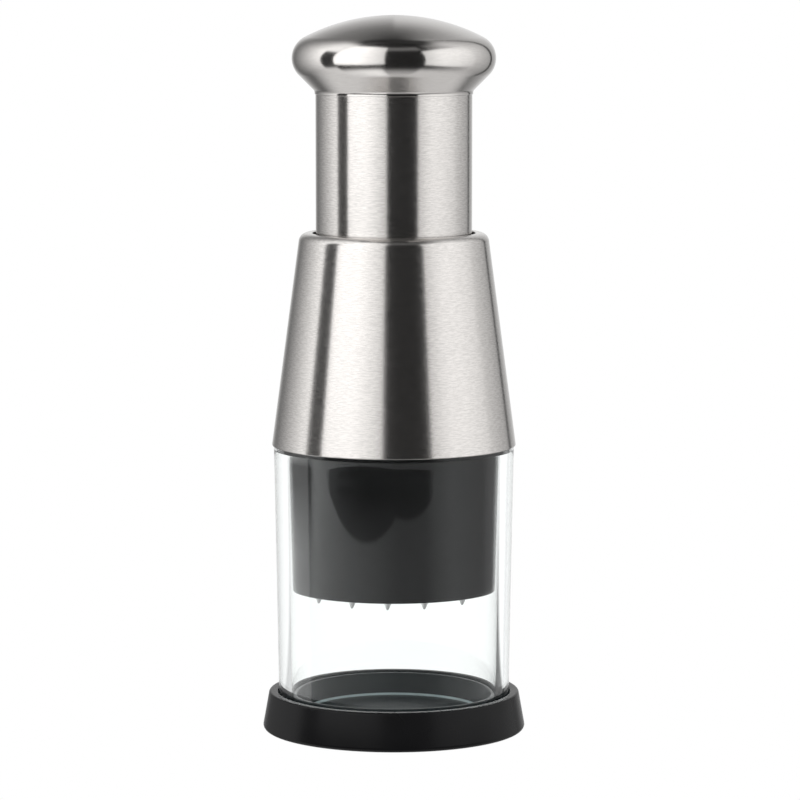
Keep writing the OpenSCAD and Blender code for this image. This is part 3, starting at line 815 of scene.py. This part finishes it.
def panel(name, azimuth, width, bottom, top, radiance, stops, receivers):
    """A flat light that stands beside the object and is seen only by the pieces in receivers.

    stops gives its brightness along its width, from 0 at its left, as seen from the object, to 1.
    """
    data = bpy.data.lights.new(name, "AREA")
    data.shape = "RECTANGLE"
    data.size = width
    data.size_y = top - bottom
    data.energy = radiance * math.pi * data.size * data.size_y
    data.use_shadow = False
    data.use_nodes = True
    tree = data.node_tree
    a = math.radians(azimuth)
    x, y, _ = split(tree, node(tree, "NewGeometry").outputs["Position"])
    across = calc(tree, "MULTIPLY_ADD", y, math.sin(a), calc(tree, "MULTIPLY", x, math.cos(a)))
    colors = node(tree, "ValToRGB", {0: ramp(tree, across, -width / 2, width / 2)})
    elements = colors.color_ramp.elements
    while len(elements) < len(stops):
        elements.new(1.0)
    for element, (share, level) in zip(elements, stops):
        element.position = share
        element.color = (level, level, level, 1)
    tree.links.new(colors.outputs[0], tree.nodes["Emission"].inputs["Color"])
    obj = add_object(name, data)
    obj.location = (STAND_OFF * math.sin(a), -STAND_OFF * math.cos(a), (bottom + top) / 2)
    obj.rotation_euler = (math.radians(90), 0, a)
    obj.visible_camera = False
    obj.light_linking.receiver_collection = receivers


def paper_level(tree):
    """Brightness of the paper by place, as seen through the glass and in what stands behind it."""
    x, y, _ = split(tree, node(tree, "NewGeometry").outputs["Position"])
    squares = [calc(tree, "MULTIPLY", value, value) for value in (x, y)]
    away = calc(tree, "SQRT", calc(tree, "ADD", *squares))
    azimuth = azimuth_of(tree, x, y)
    # lit from the left, and dim at the sides
    front = ramp(tree, azimuth, -85, 5, 1.40, 0.42)
    left = calc(tree, "MULTIPLY", ramp(tree, azimuth, -140, -92, 0.55, 1.0),
                ramp(tree, away, 0.40, 0.60, 1.0, 0.12))
    level = over(tree, front, step_up(tree, azimuth, -88, -94), left)
    right = ramp(tree, azimuth, 62, 100, 0.66, 0.08)
    level = over(tree, level, step_up(tree, azimuth, 30, 50), right)
    # the dark room past the paper's two front edges
    dark = 0.0
    for edge_azimuth, edge_distance in ((-27, 0.414), (12, 0.468)):
        a = math.radians(edge_azimuth)
        ahead = calc(tree, "MULTIPLY_ADD", y, -math.cos(a), calc(tree, "MULTIPLY", x, math.sin(a)))
        past_edge = step_up(tree, ahead, edge_distance - 0.01, edge_distance + 0.01)
        dark = calc(tree, "MAXIMUM", dark, past_edge)
    dark = calc(tree, "MULTIPLY", dark, window(tree, azimuth, -70, 38, 4))
    level = over(tree, level, dark, 0.02)
    return over(tree, level, step_up(tree, calc(tree, "ABSOLUTE", azimuth), 126, 134), BEHIND_GLASS)


def paper():
    """Paper that is seen only through glass; the camera sees the object on plain white."""
    far = 30
    corners = [(-far, -far, 0), (far, -far, 0), (far, far, 0), (-far, far, 0)]
    obj = add_mesh("floor", corners, [(0, 1, 2, 3)])
    mat = bpy.data.materials.new("paper")
    mat.use_nodes = True
    tree = mat.node_tree
    light = node(tree, "Emission", {"Color": (1, 1, 1, 1), "Strength": paper_level(tree)})
    tree.links.new(light.outputs[0], tree.nodes["Material Output"].inputs[0])
    dress(obj, mat)
    obj.visible_camera = False
    obj.visible_glossy = False
    obj.visible_diffuse = False
    obj.visible_shadow = False


def studio(lit_pieces):
    world()
    paper()
    lit = bpy.data.collections.new("lit_by_panels")
    bpy.context.scene.collection.children.link(lit)
    for piece in lit_pieces:
        lit.objects.link(piece)
    panel("softbox", -40, 0.577, 0.05, 1.18, 1.83, [(0, 1.0), (0.5, 1.0), (1, 0.57)], lit)
    panel("side_panel", 69.4, 0.69, 0.0, 0.71, 1.19,
          [(0, 0.85), (0.2, 1.0), (0.33, 1.0), (0.53, 0.76), (1, 0.0)], lit)


# ---- Build ----

camera()
dress_cad_nodes()
lit_parts = [collar(), tube(), knob(), base()]
base_ribs()
rim_gasket()
bush()
glass()
blade()
return_spring()
studio(lit_parts)
bpy.context.scene.view_settings.view_transform = "Standard"
